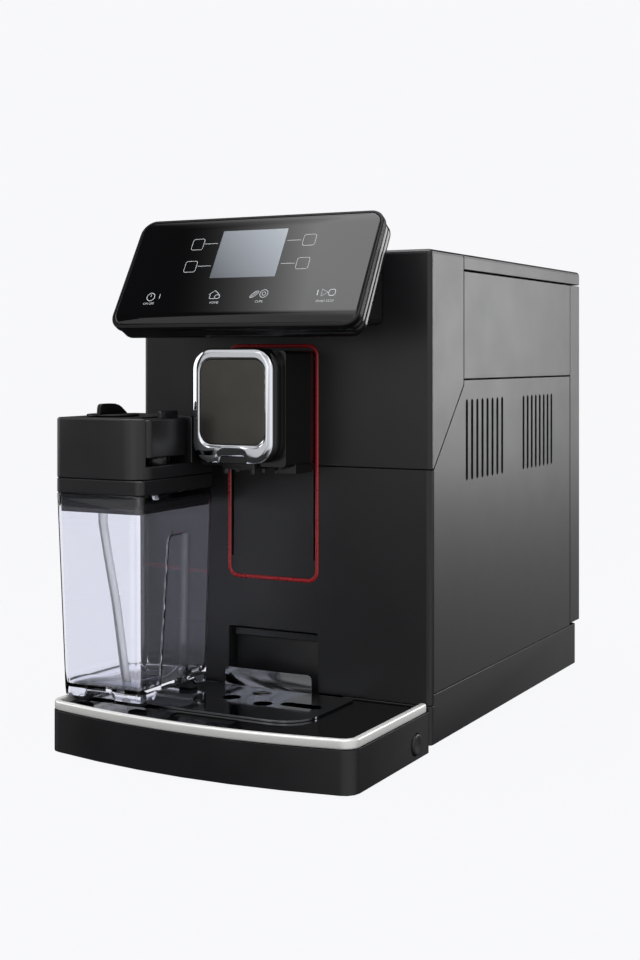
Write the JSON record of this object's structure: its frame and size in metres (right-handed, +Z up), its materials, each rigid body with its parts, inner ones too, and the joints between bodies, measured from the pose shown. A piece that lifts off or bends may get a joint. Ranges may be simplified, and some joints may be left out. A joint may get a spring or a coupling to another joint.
{
  "type": "bean to cup coffee machine",
  "caption": "Countertop bean to cup coffee machine with tilted touch panel, sliding coffee spout, drip tray, grounds container, water tank, bean hopper, service door and milk carafe.",
  "frame": {"origin": "on the table under the middle of the whole machine, tray included", "axes": "+Z up, +X to the right of a user who faces the machine, -Y towards the user"},
  "size_m": [0.224, 0.43, 0.3508],
  "materials": {
    "satin_black": "satin black moulded ABS",
    "gloss_black": "polished piano black",
    "chrome": "bright chrome plating",
    "satin_silver": "satin silver",
    "steel": "polished stainless steel",
    "red_line": "dark red lacquered trim",
    "bronze_plate": "dark bronze metallic paint",
    "clear_plastic": "clear moulded plastic, faint blue grey",
    "smoke_plastic": "smoke tinted clear plastic",
    "white_plastic": "natural white moulded plastic",
    "grey_plastic": "grey glass-filled moulding",
    "screen": "display, grey when off",
    "board_green": "green circuit board",
    "rubber": "matt black rubber",
    "bare_aluminium": "plain cast and machined",
    "red_plastic": "red moulded plastic"
  },
  "bodies": {
    "root": {"base_chassis": "satin_black", "foot_front_left": "rubber", "foot_front_right": "rubber", "foot_rear_left": "rubber", "foot_rear_right": "rubber", "front_panel_lower": "satin_black", "front_cover_upper": "satin_black", "ring_trim": "red_line", "side_panel_lower_left": "satin_black", "side_panel_upper_left": "satin_black", "side_panel_upper_right": "satin_black", "rear_cover": "satin_black", "power_module": "gloss_black", "top_cover": "satin_black", "control_panel_glass": "gloss_black", "control_panel_bezel": "satin_black", "control_panel_housing": "satin_black", "control_panel_mount": "satin_black", "display_screen": "screen", "control_board": "board_green", "steam_port": "satin_black", "inner_frame": "grey_plastic", "brew_group_frame": "grey_plastic", "brew_chamber": "grey_plastic", "brew_gear_motor": "steel", "grinder_housing": "grey_plastic", "grinder_motor": "steel", "bean_hopper": "smoke_plastic", "powder_chute": "satin_black", "boiler": "bare_aluminium", "pump": "steel", "power_board": "board_green"},
    "service_door": {"service_door": "satin_black"},
    "power_switch": {"power_switch_rocker": "red_plastic"},
    "spout": {"spout_carriage": "gloss_black", "spout_bezel": "chrome", "spout_plate": "bronze_plate", "outlet_nozzles": "gloss_black"},
    "hopper_lid": {"hopper_lid": "satin_black"},
    "water_tank": {"water_tank": "clear_plastic"},
    "tank_lid": {"tank_lid": "satin_black"},
    "drip_tray": {"drip_tray": "satin_black", "tray_trim": "satin_silver", "tray_cover": "gloss_black", "cup_plate": "steel"},
    "tray_release": {"tray_release_button": "satin_black"},
    "tray_float": {"tray_float": "red_plastic"},
    "grounds_container": {"grounds_container": "satin_black"},
    "carafe": {"carafe_jug": "clear_plastic", "carafe_foot": "rubber", "carafe_collar": "satin_black", "carafe_lid": "satin_black", "carafe_tube": "white_plastic"},
    "carafe_arm": {"carafe_spout_arm": "satin_black"},
    "froth_knob": {"froth_knob": "satin_black"},
    "grind_dial": {"grind_dial": "satin_black"},
    "grinder_burr": {"grinder_burr": "steel"},
    "brew_gear": {"brew_drive_gear": "white_plastic"},
    "brew_pinion": {"brew_pinion": "bare_aluminium"},
    "brew_piston": {"brew_piston": "white_plastic"}
  },
  "joints": [
    {"name": "service_door_hinge", "type": "hinge", "parent": "root", "child": "service_door", "pos_m": [0.11075, 0.18775, 0.13978], "axis": [0, 0, 1], "range_deg": [0, 90]},
    {"name": "power_switch_rock", "type": "hinge", "parent": "root", "child": "power_switch", "pos_m": [-0.049, 0.20886, 0.085], "axis": [1, 0, 0], "range_deg": [-8, 8]},
    {"name": "spout_height", "type": "slide", "parent": "root", "child": "spout", "axis": [0, 0, 1], "range_m": [-0.07, 0]},
    {"name": "hopper_lid_hinge", "type": "hinge", "parent": "root", "child": "hopper_lid", "pos_m": [0.043, 0.18825, 0.32475], "axis": [-1, 0, 0], "range_deg": [0, 90]},
    {"name": "tank_lift", "type": "slide", "parent": "root", "child": "water_tank", "axis": [0, 0, 1], "range_m": [0, 0.18]},
    {"name": "tank_lid_hinge", "type": "hinge", "parent": "water_tank", "child": "tank_lid", "pos_m": [-0.068, 0.18825, 0.32475], "axis": [-1, 0, 0], "range_deg": [0, 90]},
    {"name": "tray_slide", "type": "slide", "parent": "root", "child": "drip_tray", "axis": [0, -1, 0], "range_m": [0, 0.16]},
    {"name": "tray_release_press", "type": "slide", "parent": "drip_tray", "child": "tray_release", "axis": [-1, 0, 0], "range_m": [0, 0.003], "stiffness_N_per_m": 300},
    {"name": "tray_float_rise", "type": "slide", "parent": "drip_tray", "child": "tray_float", "axis": [0, 0, 1], "range_m": [0, 0.006]},
    {"name": "grounds_container_lift", "type": "slide", "parent": "drip_tray", "child": "grounds_container", "axis": [0, 0, 1], "range_m": [0, 0.03]},
    {"name": "carafe_pull", "type": "slide", "parent": "drip_tray", "child": "carafe", "axis": [0, -0.9397, 0.342], "range_m": [0, 0.11]},
    {"name": "carafe_arm_swing", "type": "hinge", "parent": "carafe", "child": "carafe_arm", "pos_m": [-0.05165, -0.14635, 0.192], "axis": [0, 0, 1], "range_deg": [0, 50]},
    {"name": "froth_knob_turn", "type": "hinge", "parent": "carafe", "child": "froth_knob", "pos_m": [-0.08578, -0.1665, 0.2178], "axis": [0, 0, 1], "range_deg": [0, 90]},
    {"name": "grind_dial_turn", "type": "hinge", "parent": "root", "child": "grind_dial", "pos_m": [0.08, 0.005, 0.3053], "axis": [0, 0, 1], "range_deg": [-120, 120]},
    {"name": "grinder_burr_spin", "type": "hinge", "parent": "root", "child": "grinder_burr", "pos_m": [0.04, 0.145, 0.1926], "axis": [0, 0, 1], "continuous": true},
    {"name": "brew_gear_turn", "type": "hinge", "parent": "root", "child": "brew_gear", "pos_m": [-0.0168, 0.0395, 0.175], "axis": [1, 0, 0], "range_deg": [0, 160]},
    {"name": "brew_pinion_turn", "type": "hinge", "parent": "root", "child": "brew_pinion", "pos_m": [-0.0168, 0.0395, 0.122], "axis": [1, 0, 0], "range_deg": [-481, 0]},
    {"name": "brew_piston_press", "type": "slide", "parent": "root", "child": "brew_piston", "axis": [0, 0, -1], "range_m": [0, 0.0351]}
  ],
  "couplings": [
    {"joint": "brew_pinion_turn", "follows": "brew_gear_turn", "ratio": -3},
    {"joint": "brew_piston_press", "follows": "brew_gear_turn", "m_per_rad": 0.012533}
  ]
}
